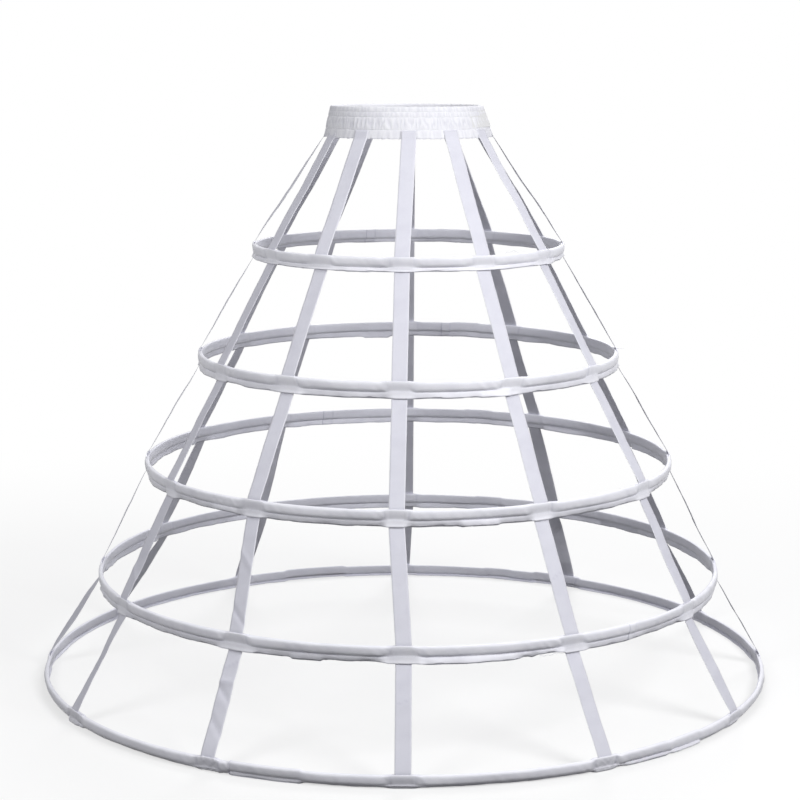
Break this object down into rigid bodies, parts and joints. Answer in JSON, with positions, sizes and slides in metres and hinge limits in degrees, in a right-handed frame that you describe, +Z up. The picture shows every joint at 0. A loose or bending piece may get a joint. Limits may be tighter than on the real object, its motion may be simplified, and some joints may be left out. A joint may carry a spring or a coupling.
{
  "type": "crinoline cage",
  "caption": "White hoop petticoat frame: gathered elastic waistband, hanging ribbon tapes and sprung hoops in sewn casings, open between them.",
  "frame": {"origin": "centre of the hem hoop, on the floor that the cage stands on", "axes": "+Z up to the waistband, -Y the front, +X to the right of someone who faces the front"},
  "size_m": [1.1, 1.1, 0.8575],
  "materials": {
    "waistband": "gathered cotton, matt",
    "tape": "grosgrain ribbon, matt with a slight sheen",
    "casing": "satin ribbon, soft sheen",
    "elastic": "covered elastic, matt",
    "bone": "spring steel in white plastic coat",
    "sleeve": "crimped steel"
  },
  "bodies": {
    "root": {"waistband": "waistband", "waist_elastic": "elastic", "tape_front": "tape", "tape_front_right": "tape", "tape_right_front": "tape", "tape_right": "tape", "tape_right_back": "tape", "tape_back_right": "tape", "tape_back": "tape", "tape_back_left": "tape", "tape_left_back": "tape", "tape_left": "tape", "tape_left_front": "tape", "tape_front_left": "tape", "hoop_casing_1": "casing", "hoop_bone_1": "bone", "bone_sleeve_1": "sleeve", "hoop_casing_2": "casing", "hoop_bone_2": "bone", "bone_sleeve_2": "sleeve", "hoop_casing_3": "casing", "hoop_bone_3": "bone", "bone_sleeve_3": "sleeve", "hoop_casing_4": "casing", "hoop_bone_4": "bone", "bone_sleeve_4": "sleeve", "hoop_casing_5": "casing", "hoop_bone_5": "bone", "bone_sleeve_5": "sleeve"}
  },
  "joints": []
}
